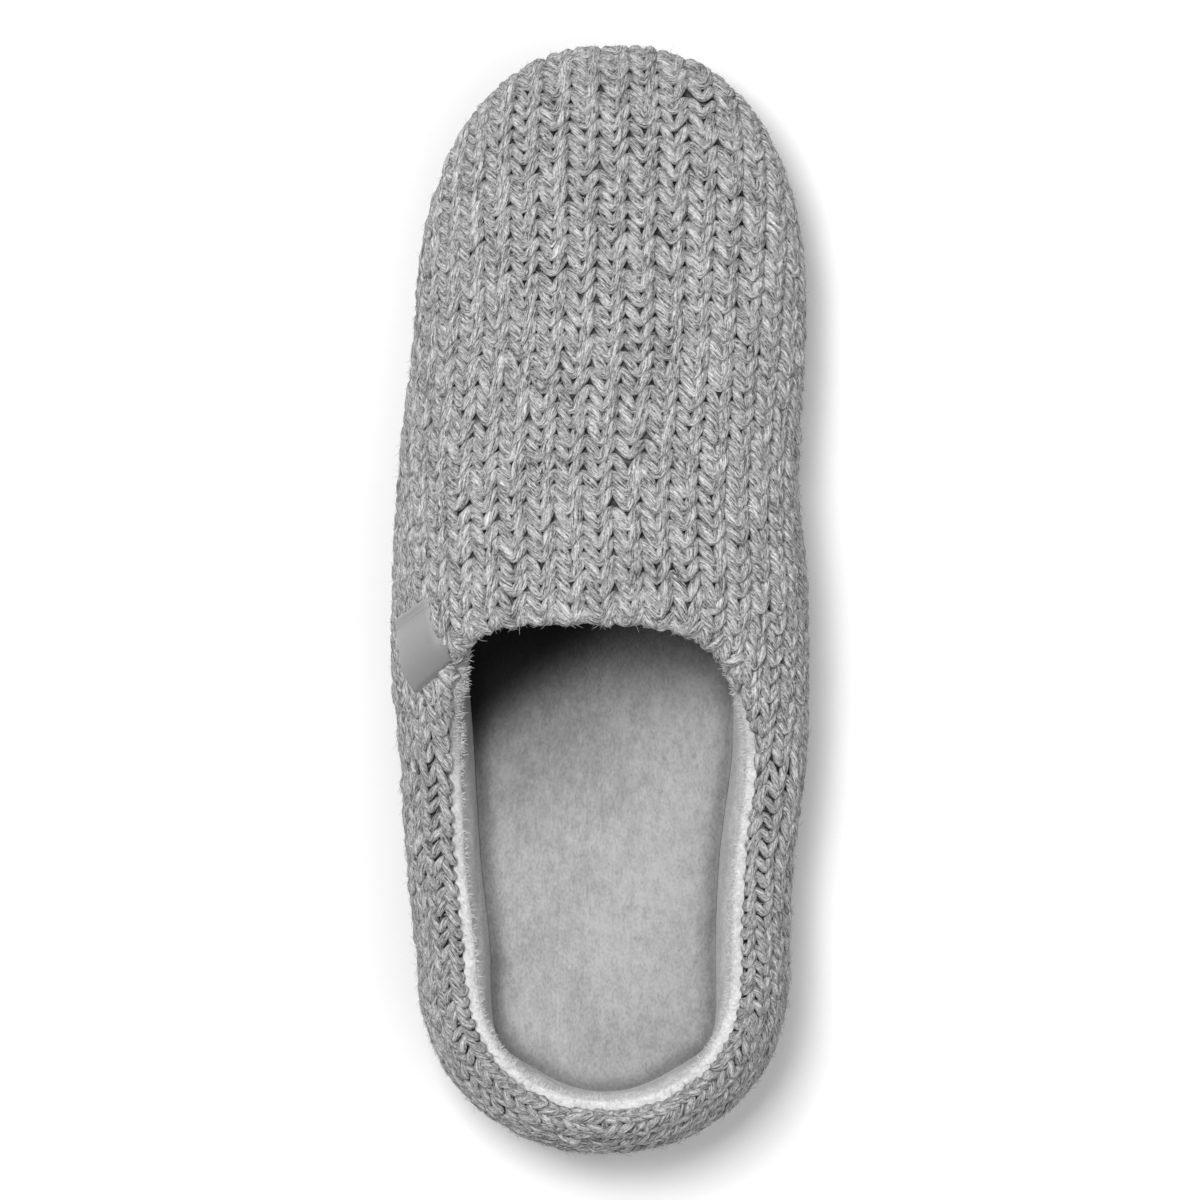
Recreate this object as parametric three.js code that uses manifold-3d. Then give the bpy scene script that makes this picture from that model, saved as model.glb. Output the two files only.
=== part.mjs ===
// A knitted house slipper for the left foot, standing empty on its sole.
// Millimetres, +Z up, toe towards +Y, big-toe side towards +X, origin on the floor under the middle.
import * as THREE from "three";
import { mergeVertices } from "three/addons/utils/BufferGeometryUtils.js";
import Module from "manifold-3d";

// Overall sizes
const shoeLength = 285.5;
const shoeWidth = 107.6;
const instepHeight = 76;
const heelCollarHeight = 56;
const quarterCollarHeight = 48;
const toeBoxHeight = 61;
const toeTipHeight = 51;

// Walls and clearances
const upperWall = 5;
const rimWall = 6.5;
const rimTaper = 12;
const seatGap = 0.3;

// Padded wall of the sides and the heel: how far its foot lies inside the widest line, how much its face swells,
// how far before the hinge it starts to thin, and how far behind the throat it is as thin as the vamp
const sidePadInset = 19.5;
const heelPadInset = 16.5;
const paddedSwell = 1.2;
const padFadeFrom = 12;
const padFadeTo = 6;

// Collar opening
const mouthInset = 9;
const throatFromHeel = 139;
const hingeFromHeel = 97.5;

// Outsole
const heelThickness = 15;
const forefootThickness = 12;
const toeSpring = 6;
const archLift = 2.5;
const soleLedge = 1.5;
const waistInset = 3;
const soleEdgeRound = 3.5;
const ribDepth = 0.9;
const treadDepth = 2.2;
const treadGroove = 3;
const treadPitch = 11;
const treadWave = 2.2;
const treadRim = 9;

// Upper above the sole: how high its widest line lies, and how far its foot is drawn in under that line
const bulgeRise = 14;
const heelTuck = 8;
const toeTuck = 5;

// Insole
const insoleThickness = 5;
const insoleRound = 1.5;

// Woven tab
const tabWidth = 14;
const tabLength = 19;
const tabThickness = 0.8;
const tabRimWrap = 3;

// Plan form. along is a share of the length from its middle, halfWidth and centre are shares of the width.
const PLAN = [
  { along: -0.5, halfWidth: 0.449, centre: 0.012 },
  { along: -0.333, halfWidth: 0.449, centre: 0.008 },
  { along: -0.24, halfWidth: 0.466, centre: 0 },
  { along: -0.14, halfWidth: 0.49, centre: 0.008 },
  { along: -0.05, halfWidth: 0.5, centre: 0 },
  { along: 0.02, halfWidth: 0.496, centre: 0 },
  { along: 0.105, halfWidth: 0.481, centre: -0.005 },
  { along: 0.19, halfWidth: 0.474, centre: 0.012 },
  { along: 0.25, halfWidth: 0.468, centre: 0.024 },
  { along: 0.5, halfWidth: 0.462, centre: 0.036 },
];

// Where the straight part of the plan ends and its round ends begin, and how square the ends are
const toeRoundStart = 0.25;
const heelRoundStart = -0.333;
const toeSquareness = 2.35;
const heelSquareness = 2.1;
const crownSquareness = 2.2;

// Stations of the sole and the arch, as shares of the length from its middle
const ballLine = 0.2;
const archMiddle = -0.09;
const archHalfLength = 0.12;
const heelBreast = -0.2;

// Turns around the shoe: 0 is the inner side at the hinge, a quarter the toe, a half the outer side
const turnSteps = 100;
const tuckSteps = 3;
const crownSteps = 11;
const rimSteps = 4;
const tuckAngle = Math.PI / 3;
const tiny = 1e-4;

// Turns crowd towards the toe: the share of the way ahead that grows evenly, and the power of the rest
const evenAdvance = 0.25;
const advancePower = 2.5;

const toeEnd = shoeLength / 2;
const heelEnd = -shoeLength / 2;
const hingeY = heelEnd + hingeFromHeel;
const throatY = heelEnd + throatFromHeel;

// A smooth curve through one column of a table, flat at its first and last rows
function column(rows, name, share) {
  if (share <= rows[0].along) return rows[0][name];
  const last = rows.length - 1;
  if (share >= rows[last].along) return rows[last][name];
  const i = rows.findIndex((row) => row.along > share) - 1;
  const slope = (k) =>
    k === 0 || k === last
      ? 0
      : (rows[k + 1][name] - rows[k - 1][name]) / (rows[k + 1].along - rows[k - 1].along);
  const span = rows[i + 1].along - rows[i].along;
  const s = (share - rows[i].along) / span;
  const rise = s * s * (3 - 2 * s);
  const bend = s * (1 - s) * (1 - s) * slope(i) - s * s * (1 - s) * slope(i + 1);
  return rows[i][name] * (1 - rise) + rows[i + 1][name] * rise + span * bend;
}

function smoothStep(low, high, value) {
  const s = Math.min(1, Math.max(0, (value - low) / (high - low)));
  return s * s * (3 - 2 * s);
}

const bandHalfWidth = (y) => shoeWidth * column(PLAN, "halfWidth", y / shoeLength);
const centreLine = (y) => shoeWidth * column(PLAN, "centre", y / shoeLength);

// How far y lies into the round toe or heel: 0 at its start and 1 at the end of the shoe
function endShare(y) {
  const toeStart = toeRoundStart * shoeLength;
  const heelStart = heelRoundStart * shoeLength;
  if (y > toeStart) return (y - toeStart) / (toeEnd - toeStart);
  if (y < heelStart) return (heelStart - y) / (heelStart - heelEnd);
  return 0;
}

const planSquareness = (y) => (y > 0 ? toeSquareness : heelSquareness);

// 1 on the widest line of the upper, 0 on its spine
function planShare(x, y) {
  const power = planSquareness(y);
  const side = Math.abs(x - centreLine(y)) / bandHalfWidth(y);
  return (endShare(y) ** power + side ** power) ** (1 / power);
}

// Height of the floor side and of the top of the outsole
const springAt = (y) =>
  toeSpring * Math.max(0, (y - ballLine * shoeLength) / (toeEnd - ballLine * shoeLength)) ** 2;
function soleThicknessAt(y) {
  const rise = smoothStep(ballLine, heelBreast, y / shoeLength);
  return forefootThickness + (heelThickness - forefootThickness) * rise;
}
const soleTopAt = (y) => springAt(y) + soleThicknessAt(y);
function soleBottomAt(y) {
  const fromArch = (y / shoeLength - archMiddle) / archHalfLength;
  const arch = Math.abs(fromArch) < 1 ? archLift * Math.cos((fromArch * Math.PI) / 2) ** 2 : 0;
  return springAt(y) + arch;
}

// How far the foot of the wall lies inside the widest line
const tuckAt = (y) => toeTuck + (heelTuck - toeTuck) * smoothStep(ballLine, heelBreast, y / shoeLength);

// The widest line of the upper, and the crown that the walls lean towards
const widestAt = (y) => soleTopAt(y) + bulgeRise;
const crownRise = (share) =>
  Math.max(0, 1 - Math.min(1, share) ** crownSquareness) ** (1 / crownSquareness);
const mouthShare = 1 - mouthInset / (shoeWidth / 2);

// The crown whose wall reaches a collar height where the mouth cuts it
function crownOver(collarHeight, along) {
  const base = widestAt(along * shoeLength);
  return base + (collarHeight - base) / crownRise(mouthShare);
}

// Height of the crown over the floor from heel to toe. along is a share of the length from its middle.
const CROWN = [
  { along: -0.5, height: crownOver(heelCollarHeight, -0.5) },
  { along: -0.36, height: crownOver(heelCollarHeight, -0.36) * 0.97 },
  { along: -0.17, height: crownOver(quarterCollarHeight, -0.17) },
  { along: -0.06, height: instepHeight * 0.93 },
  { along: 0, height: instepHeight },
  { along: 0.08, height: instepHeight * 0.97 },
  { along: 0.25, height: toeBoxHeight },
  { along: 0.5, height: toeTipHeight },
];
const crownAt = (y) => column(CROWN, "height", y / shoeLength);

// The widest line at a turn
function widestPoint(turn) {
  const angle = 2 * Math.PI * turn;
  const reach = Math.abs(Math.sin(angle));
  const ahead = evenAdvance * reach + (1 - evenAdvance) * reach ** advancePower;
  const y =
    Math.sin(angle) >= 0
      ? hingeY + (toeEnd - hingeY) * ahead
      : hingeY - (hingeY - heelEnd) * reach;
  const power = planSquareness(y);
  const width = bandHalfWidth(y) * Math.max(0, 1 - endShare(y) ** power) ** (1 / power);
  return new THREE.Vector3(centreLine(y) + Math.sign(Math.cos(angle)) * width, y, widestAt(y));
}

// The plan of the mouth at a turn: the throat is squarer on the outer side than on the inner side
const outerThroatSquareness = 4.5;
const innerThroatSquareness = 2.5;
function mouthPoint(turn) {
  const angle = 2 * Math.PI * turn;
  const aside = Math.cos(angle);
  const ahead = Math.sin(angle);
  if (ahead >= 0) {
    const power = aside < 0 ? outerThroatSquareness : innerThroatSquareness;
    const radius = (Math.abs(aside) ** power + ahead ** power) ** (-1 / power);
    const halfWidth = mouthShare * bandHalfWidth(hingeY);
    return new THREE.Vector2(
      centreLine(hingeY) + halfWidth * aside * radius,
      hingeY + (throatY - hingeY) * ahead * radius,
    );
  }
  const outer = widestPoint(turn);
  const heelStart = heelRoundStart * shoeLength;
  const y = outer.y < heelStart ? heelStart + (outer.y - heelStart) * mouthShare : outer.y;
  const side = (outer.x - centreLine(outer.y)) / bandHalfWidth(outer.y);
  return new THREE.Vector2(centreLine(y) + side * mouthShare * bandHalfWidth(y), y);
}

// A unit vector in plan pointing out of the shoe at a turn
function planOutward(turn) {
  const before = widestPoint(turn - tiny);
  const after = widestPoint(turn + tiny);
  return new THREE.Vector3(after.y - before.y, before.x - after.x, 0).normalize();
}

// The outer skin: level -1 is its foot on the sole, 0 the widest line and 1 the collar
function outerSkin(turn, level) {
  const widest = widestPoint(turn);
  if (level < 0) {
    const angle = -level * tuckAngle;
    const drop = (bulgeRise - seatGap) * (Math.sin(angle) / Math.sin(tuckAngle));
    const inward = tuckAt(widest.y) * ((1 - Math.cos(angle)) / (1 - Math.cos(tuckAngle)));
    const foot = widest.clone().addScaledVector(planOutward(turn), -inward);
    return foot.setZ(soleTopAt(foot.y) + bulgeRise - drop);
  }
  const mouth = mouthPoint(turn);
  const inwards = 1 - Math.cos((level * Math.PI) / 2);
  const x = widest.x + (mouth.x - widest.x) * inwards;
  const y = widest.y + (mouth.y - widest.y) * inwards;
  const base = widestAt(y);
  return new THREE.Vector3(x, y, base + (crownAt(y) - base) * crownRise(planShare(x, y)));
}

// The direction out of the wall. At and under the widest line it is level with the floor.
function outwardAt(turn, level) {
  if (level <= 0) return planOutward(turn);
  const along = outerSkin(turn + tiny, level).sub(outerSkin(turn - tiny, level));
  const up = outerSkin(turn, Math.min(1, level + tiny)).sub(outerSkin(turn, level - tiny));
  return along.cross(up).normalize();
}

// The wall grows from upperWall to rimWall over rimTaper below the collar
function wallAt(turn, level) {
  const toRim = outerSkin(turn, level).distanceTo(outerSkin(turn, 1));
  return upperWall + (rimWall - upperWall) * smoothStep(rimTaper, 0, toRim);
}

// How far the foot of the padded wall lies inside the widest line
const padInsetAt = (y) => sidePadInset + (heelPadInset - sidePadInset) * (y < 0 ? endShare(y) : 0);

// How much of the padding a turn has: all of it behind the hinge and none at the throat
const paddingAt = (turn) => 1 - smoothStep(hingeY + padFadeFrom, throatY - padFadeTo, mouthPoint(turn).y);

// The inner face, which follows the skin in the vamp and hangs straight from the rim at the heel and the sides
function innerFace(turn, level) {
  const follows = outerSkin(turn, level).addScaledVector(outwardAt(turn, level), -wallAt(turn, level));
  const down = (1 - level) / 2;
  const out = planOutward(turn);
  const widest = widestPoint(turn);
  const foot = widest.clone().addScaledVector(out, -padInsetAt(widest.y));
  foot.setZ(soleTopAt(foot.y) + seatGap);
  const hangs = outerSkin(turn, 1).addScaledVector(outwardAt(turn, 1), -rimWall).lerp(foot, down);
  hangs.addScaledVector(out, -paddedSwell * Math.sin(Math.PI * down));
  return follows.lerp(hangs, paddingAt(turn));
}

// How far the foot of the inner face lies inside the widest line
function innerFootInset(widest, turn) {
  const thin = tuckAt(widest.y) + upperWall;
  return thin + (padInsetAt(widest.y) - thin) * paddingAt(turn);
}

// The half-round rim of the collar, with proud as a distance off its face, from outside at 0 to inside at pi
function rimPoint(turn, angle, proud) {
  const outward = outwardAt(turn, 1);
  const edge = outerSkin(turn + tiny, 1).sub(outerSkin(turn - tiny, 1)).normalize();
  const onward = outward.clone().cross(edge).normalize();
  const centre = outerSkin(turn, 1).addScaledVector(outward, -rimWall / 2);
  return centre
    .addScaledVector(outward, Math.cos(angle) * (rimWall / 2 + proud))
    .addScaledVector(onward, Math.sin(angle) * (rimWall / 2 + proud));
}

// Triangles of a grid of points that closes in both directions or is capped
function meshOf(points, triangles, name, material) {
  const geometry = new THREE.BufferGeometry();
  geometry.setAttribute(
    "position",
    new THREE.Float32BufferAttribute(points.flatMap((point) => point.toArray()), 3),
  );
  geometry.setIndex(triangles);
  geometry.computeVertexNormals();
  const mesh = new THREE.Mesh(geometry, material);
  mesh.name = name;
  return mesh;
}

function quad(triangles, a, b, c, d) {
  triangles.push(a, b, c, a, c, d);
}

// Upper: one hollow knitted wall, open at the collar and over the sole
function upper() {
  const section = (turn) => {
    const levels = [];
    for (let i = 0; i <= tuckSteps; i++) levels.push(i / tuckSteps - 1);
    for (let i = 1; i <= crownSteps; i++) levels.push(i / crownSteps);
    const outside = levels.map((level) => outerSkin(turn, level));
    const rim = [];
    for (let i = 1; i < rimSteps; i++) rim.push(rimPoint(turn, (Math.PI * i) / rimSteps, 0));
    const inside = levels.map((level) => innerFace(turn, level));
    return [...outside, ...rim, ...inside.reverse()];
  };
  const rows = [];
  for (let i = 0; i < turnSteps; i++) rows.push(section(i / turnSteps));
  const count = rows[0].length;
  const triangles = [];
  for (let i = 0; i < turnSteps; i++)
    for (let j = 0; j < count; j++) {
      const nextRow = ((i + 1) % turnSteps) * count;
      const nextPoint = (j + 1) % count;
      quad(triangles, i * count + j, nextRow + j, nextRow + nextPoint, i * count + nextPoint);
    }
  const material = new THREE.MeshStandardMaterial({ color: 0xa9a9a9, roughness: 0.95 });
  return meshOf(rows.flat(), triangles, "upper", material);
}

// A slab whose side is a stack of rings, closed below and above by strips across the shoe
function stackedSlab(rings, name, material) {
  const triangles = [];
  const ring = (k, i) => k * turnSteps + ((i + turnSteps) % turnSteps);
  for (let k = 0; k + 1 < rings.length; k++)
    for (let i = 0; i < turnSteps; i++)
      quad(triangles, ring(k, i), ring(k, i + 1), ring(k + 1, i + 1), ring(k + 1, i));
  const half = turnSteps / 2;
  const quarter = turnSteps / 4;
  const top = rings.length - 1;
  for (let i = -quarter; i < quarter; i++) {
    quad(triangles, ring(top, i), ring(top, i + 1), ring(top, half - i - 1), ring(top, half - i));
    quad(triangles, ring(0, half - i), ring(0, half - i - 1), ring(0, i + 1), ring(0, i));
  }
  return meshOf(rings.flat(), triangles, name, material);
}

// One ring of a slab at a distance in from the widest line
function ringAt(insetOf, heightOf) {
  const points = [];
  for (let i = 0; i < turnSteps; i++) {
    const turn = i / turnSteps;
    const widest = widestPoint(turn);
    const point = widest.clone().addScaledVector(planOutward(turn), -insetOf(widest, turn));
    points.push(point.setZ(heightOf(point.y)));
  }
  return points;
}

// Side of the outsole from the floor up. height is a share of the thickness, inset a share of the named depth.
const SOLE_SIDE = [
  { height: 0, round: 1, rib: 0 },
  { height: 0.05, round: 0.35, rib: 0 },
  { height: 0.16, round: 0, rib: 0 },
  { height: 0.34, round: 0, rib: 0 },
  { height: 0.38, round: 0, rib: 1 },
  { height: 0.46, round: 0, rib: 1 },
  { height: 0.5, round: 0, rib: 0 },
  { height: 0.66, round: 0, rib: 0 },
  { height: 0.7, round: 0, rib: 1 },
  { height: 0.78, round: 0, rib: 1 },
  { height: 0.82, round: 0, rib: 0 },
  { height: 1, round: 0, rib: 0.4 },
];

// The sole's edge lies soleLedge outside the foot of the wall, and further in at the waist of the inner side
function soleEdgeInset(point) {
  const fromArch = (point.y / shoeLength - archMiddle) / (2 * archHalfLength);
  const waist = Math.abs(fromArch) < 1 ? Math.cos((fromArch * Math.PI) / 2) ** 2 : 0;
  return tuckAt(point.y) - soleLedge + (point.x > 0 ? waistInset * waist : 0);
}

function treadGrooves() {
  const grooves = [];
  const steps = 10;
  const waves = 2;
  const zones = [
    { from: -0.43, to: heelBreast },
    { from: 0.04, to: 0.4 },
  ];
  for (const zone of zones) {
    const count = Math.floor(((zone.to - zone.from) * shoeLength) / treadPitch);
    for (let k = 0; k <= count; k++) {
      const y = zone.from * shoeLength + k * treadPitch;
      const power = planSquareness(y);
      const endNarrowing = (1 - endShare(y) ** power) ** (1 / power);
      const halfLength = bandHalfWidth(y) * endNarrowing - tuckAt(y) - treadRim;
      const wave = (i) => treadWave * Math.cos((i / steps) * waves * 2 * Math.PI);
      const outline = new THREE.Shape();
      outline.moveTo(-halfLength, wave(0) - treadGroove / 2);
      for (let i = 1; i <= steps; i++)
        outline.lineTo(halfLength * ((2 * i) / steps - 1), wave(i) - treadGroove / 2);
      for (let i = steps; i >= 0; i--)
        outline.lineTo(halfLength * ((2 * i) / steps - 1), wave(i) + treadGroove / 2);
      const geometry = new THREE.ExtrudeGeometry(outline, {
        depth: 2 * treadDepth,
        bevelEnabled: false,
      });
      grooves.push(geometry.translate(centreLine(y), y, soleBottomAt(y) - treadDepth));
    }
  }
  return grooves;
}

const wasm = await Module();
wasm.setup();

function solidOf(geometry) {
  const plain = geometry.clone();
  plain.deleteAttribute("normal");
  plain.deleteAttribute("uv");
  const merged = mergeVertices(plain, tiny);
  return new wasm.Manifold(
    new wasm.Mesh({
      numProp: 3,
      vertProperties: merged.attributes.position.array,
      triVerts: new Uint32Array(merged.index.array),
    }),
  );
}

// Outsole: a moulded unit sole with two ribs round its side and waved bars under heel and forefoot
function outsole() {
  const rings = SOLE_SIDE.map((row) =>
    ringAt(
      (widest) => soleEdgeInset(widest) + row.round * soleEdgeRound + row.rib * ribDepth,
      (y) => soleBottomAt(y) + (soleTopAt(y) - soleBottomAt(y)) * row.height,
    ),
  );
  const material = new THREE.MeshStandardMaterial({ color: 0x4a4c50, roughness: 0.8 });
  const sole = stackedSlab(rings, "outsole", material);
  let solid = solidOf(sole.geometry);
  for (const groove of treadGrooves()) solid = solid.subtract(solidOf(groove));
  const cut = solid.getMesh();
  const geometry = new THREE.BufferGeometry();
  geometry.setAttribute("position", new THREE.BufferAttribute(cut.vertProperties, 3));
  geometry.setIndex(new THREE.BufferAttribute(cut.triVerts, 1));
  sole.geometry = geometry;
  return sole;
}

// Insole: a soft footbed that lies on the outsole inside the wall
function insole() {
  const rows = [
    { height: seatGap, round: 0 },
    { height: seatGap + insoleThickness - insoleRound, round: 0 },
    { height: seatGap + insoleThickness - insoleRound * 0.3, round: 0.3 },
    { height: seatGap + insoleThickness, round: 1 },
  ];
  const rings = rows.map((row) =>
    ringAt(
      (widest, turn) => innerFootInset(widest, turn) + seatGap + row.round * insoleRound,
      (y) => soleTopAt(y) + row.height,
    ),
  );
  const material = new THREE.MeshStandardMaterial({ color: 0x9a9a9a, roughness: 0.95 });
  return stackedSlab(rings, "insole", material);
}

// A point on the outer face of the upper at a distance down from the crest of its rim
function skinBelowRim(turn, distance, proud) {
  const quarterRim = (rimWall * Math.PI) / 4;
  if (distance < quarterRim) {
    const angle = (1 - distance / quarterRim) * (Math.PI / 2);
    return rimPoint(turn, angle, proud);
  }
  const steps = 60;
  let walked = quarterRim;
  let level = 1;
  for (let i = 1; i <= steps && walked < distance; i++) {
    const next = 1 - i / steps;
    const step = outerSkin(turn, next).distanceTo(outerSkin(turn, level));
    const part = Math.min(1, (distance - walked) / step);
    walked += step;
    level += (next - level) * part;
  }
  return outerSkin(turn, level).addScaledVector(outwardAt(turn, level), proud);
}

// Woven tab: a ribbon that comes out of the collar at the outer end of the throat and lies on the wall
const tabTurn = 0.405;
function wovenTab() {
  const across = 6;
  const down = 10;
  const edgeSpeed = outerSkin(tabTurn + tiny, 1).distanceTo(outerSkin(tabTurn - tiny, 1)) / (2 * tiny);
  const faces = [seatGap, seatGap + tabThickness].map((proud) => {
    const points = [];
    for (let i = 0; i <= across; i++)
      for (let j = 0; j <= down; j++) {
        const turn = tabTurn + ((i / across - 0.5) * tabWidth) / edgeSpeed;
        const start = (rimWall * Math.PI) / 4 - tabRimWrap;
        points.push(skinBelowRim(turn, start + (tabLength * j) / down, proud));
      }
    return points;
  });
  const size = (across + 1) * (down + 1);
  const at = (face, i, j) => face * size + i * (down + 1) + j;
  const triangles = [];
  for (let i = 0; i < across; i++)
    for (let j = 0; j < down; j++) {
      quad(triangles, at(1, i, j), at(1, i, j + 1), at(1, i + 1, j + 1), at(1, i + 1, j));
      quad(triangles, at(0, i, j), at(0, i + 1, j), at(0, i + 1, j + 1), at(0, i, j + 1));
    }
  for (let i = 0; i < across; i++) {
    quad(triangles, at(0, i, 0), at(1, i, 0), at(1, i + 1, 0), at(0, i + 1, 0));
    quad(triangles, at(0, i + 1, down), at(1, i + 1, down), at(1, i, down), at(0, i, down));
  }
  for (let j = 0; j < down; j++) {
    quad(triangles, at(0, 0, j + 1), at(1, 0, j + 1), at(1, 0, j), at(0, 0, j));
    quad(triangles, at(0, across, j), at(1, across, j), at(1, across, j + 1), at(0, across, j + 1));
  }
  const material = new THREE.MeshStandardMaterial({ color: 0x8c8c8c, roughness: 0.5 });
  return meshOf(faces.flat(), triangles, "woven_tab", material);
}

const slipper = new THREE.Group();
slipper.add(outsole(), insole(), upper(), wovenTab());

export default slipper;
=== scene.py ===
# A knitted house slipper for the left foot, standing empty on its sole.
# Sizes are in millimetres and turned into metres where a mesh is made.
# The toe is towards +Y and the big-toe side towards +X.
from math import cos, pi, radians, sin

import bmesh
import bpy
import numpy as np
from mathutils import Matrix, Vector
from mathutils.bvhtree import BVHTree


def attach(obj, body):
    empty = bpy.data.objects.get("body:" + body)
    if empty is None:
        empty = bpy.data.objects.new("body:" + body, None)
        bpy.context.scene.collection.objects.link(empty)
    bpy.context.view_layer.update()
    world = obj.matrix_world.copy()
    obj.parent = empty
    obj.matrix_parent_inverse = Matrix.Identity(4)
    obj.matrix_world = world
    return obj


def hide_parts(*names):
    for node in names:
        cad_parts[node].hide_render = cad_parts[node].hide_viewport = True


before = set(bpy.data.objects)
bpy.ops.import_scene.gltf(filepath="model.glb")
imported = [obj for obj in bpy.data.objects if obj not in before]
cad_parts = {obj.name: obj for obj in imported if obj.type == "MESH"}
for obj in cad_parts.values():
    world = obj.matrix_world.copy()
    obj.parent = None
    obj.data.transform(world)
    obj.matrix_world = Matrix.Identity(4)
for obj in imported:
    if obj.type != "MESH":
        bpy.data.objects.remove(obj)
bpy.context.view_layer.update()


# Outsole
# One moulding of dark grey rubber, with two ribs round its side and waved bars on its tread.
# The upper is cemented to it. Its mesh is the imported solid, welded and given a moulded skin.
MM = 0.001
weld_distance = 0.01 * MM
rib_crease = radians(34)
rubber_dark = (0.040, 0.042, 0.046, 1)
rubber_worn = (0.085, 0.088, 0.093, 1)
scene = bpy.context.scene


def placed(name, data):
    thing = bpy.data.objects.new(name, data)
    scene.collection.objects.link(thing)
    return thing


def shown(name, mesh, material):
    piece = placed(name, mesh)
    mesh.materials.clear()
    mesh.materials.append(material)
    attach(piece, "root")
    return piece


def weld(bm, closeness=weld_distance):
    bmesh.ops.remove_doubles(bm, verts=bm.verts, dist=closeness)


def finished(bm, name, crease=pi):
    mesh = bpy.data.meshes.new(name)
    bm.to_mesh(mesh)
    bm.free()
    mesh.shade_smooth()
    mesh.set_sharp_from_angle(angle=crease)
    return mesh


def grey(value):
    return value, value, value, 1


def set_inputs(node, values):
    """A number or a colour goes into the input of that name, and another node's output is linked to it."""
    for name, value in values.items():
        socket = node.inputs[name.replace("_", " ")]
        if isinstance(value, bpy.types.NodeSocket):
            node.id_data.links.new(value, socket)
        else:
            socket.default_value = value


def node_in(tree, kind, **inputs):
    node = tree.nodes.new(kind)
    set_inputs(node, inputs)
    return node


def vector_math(tree, operation, vector, value=(0, 0, 0)):
    """An operation on a linked vector and a set one."""
    node = tree.nodes.new("ShaderNodeVectorMath")
    node.operation = operation
    node.inputs[1].default_value = value
    tree.links.new(vector, node.inputs[0])
    return node


def new_material(name, **inputs):
    material = bpy.data.materials.new(name)
    material.use_nodes = True
    shader = material.node_tree.nodes["Principled BSDF"]
    set_inputs(shader, inputs)
    return material, material.node_tree, shader


# Fine grain all over a surface: its height for a bump and a mask for its colour
fine_grain = bpy.data.node_groups.new("fine_grain", "ShaderNodeTree")
GRAIN_SOCKETS = {
    "Scale": ("INPUT", "NodeSocketFloat"),
    "Stretch": ("INPUT", "NodeSocketVector"),
    "Height": ("OUTPUT", "NodeSocketFloat"),
    "Patches": ("OUTPUT", "NodeSocketFloat"),
}
for name, (way, kind) in GRAIN_SOCKETS.items():
    fine_grain.interface.new_socket(name, in_out=way, socket_type=kind)
given = fine_grain.nodes.new("NodeGroupInput").outputs
place = fine_grain.nodes.new("ShaderNodeTexCoord").outputs["Object"]
stretched = vector_math(fine_grain, "MULTIPLY", place)
fine_grain.links.new(given["Stretch"], stretched.inputs[1])
noise = "ShaderNodeTexNoise"
fine = node_in(
    fine_grain, noise, Vector=stretched.outputs[0], Scale=given["Scale"], Detail=4.0, Roughness=0.6
)
broad = node_in(fine_grain, noise, Vector=place, Scale=38.0, Detail=3.0)
node_in(fine_grain, "NodeGroupOutput", Height=fine.outputs["Fac"], Patches=broad.outputs["Fac"])


def grain_in(tree, scale, stretch=(1, 1, 1)):
    node = tree.nodes.new("ShaderNodeGroup")
    node.node_tree = fine_grain
    set_inputs(node, {"Scale": scale, "Stretch": stretch})
    return node


def colour_between(tree, factor, low, high, dark, light):
    """A colour that runs from dark to light as the factor runs from low to high."""
    ramp = node_in(tree, "ShaderNodeMapRange", Value=factor, From_Min=low, From_Max=high)
    mix = tree.nodes.new("ShaderNodeMix")
    mix.data_type = "RGBA"
    set_inputs(mix, {"Factor": ramp.outputs[0], "A": dark, "B": light})
    return mix.outputs["Result"]


def blended(tree, a, b, share):
    """A value between two others, with share as the part of the second."""
    return node_in(tree, "ShaderNodeMix", Factor=share, A=a, B=b).outputs["Result"]


def covered(tree, shader, colour, height, distance):
    """The surface gets a colour, and a bump of that height over the distance."""
    bump = node_in(tree, "ShaderNodeBump", Height=height, Strength=1.0, Distance=distance)
    set_inputs(shader, {"Base Color": colour, "Normal": bump.outputs["Normal"]})


def grid_of(steps_across, steps_along, size=0.5, **more):
    bm = bmesh.new()
    bmesh.ops.create_grid(bm, x_segments=steps_across, y_segments=steps_along, size=size, **more)
    return bm


rubber, tree, shader = new_material("moulded_rubber", Roughness=0.62)
grain = grain_in(tree, scale=1400)
patches = grain.outputs["Patches"]
colour = colour_between(tree, patches, low=0.35, high=0.7, dark=rubber_dark, light=rubber_worn)
covered(tree, shader, colour, grain.outputs["Height"], distance=0.15 * MM)

bm = bmesh.new()
bm.from_mesh(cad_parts["outsole"].data)
weld(bm)
outsole = shown("rubber_outsole", finished(bm, "rubber_outsole", rib_crease), rubber)
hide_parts("outsole")


# Footbed
# A soft board covered in light grey short-pile plush, laid on the outsole inside the padded wall.
# Its cover is drawn down all round, and the foot has pressed shallow hollows into it.
shoe_length = 285.5
shoe_width = 107.6
forefoot_thickness = 12
heel_thickness = 15
toe_spring = 6
ball_line = 0.2
heel_breast = -0.2
toe_round_start = 0.25
heel_round_start = -0.333
toe_squareness = 2.35
heel_squareness = 2.1
toe_tuck = 5
heel_tuck = 8
bulge_rise = 14
mouth_inset = 9
throat_from_heel = 139
hinge_from_heel = 97.5
upper_wall = 5
side_pad_inset = 19.5
heel_pad_inset = 16.5
pad_fade_from = 12
pad_fade_to = 6
seat_gap = 0.3
footbed_thickness = 5
outer_throat_squareness = 4.5
inner_throat_squareness = 2.5
even_advance = 0.25
advance_power = 2.5
tiny = 1e-4
toe_end = shoe_length / 2
heel_end = -shoe_length / 2
hinge_y = heel_end + hinge_from_heel
throat_y = heel_end + throat_from_heel
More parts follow.
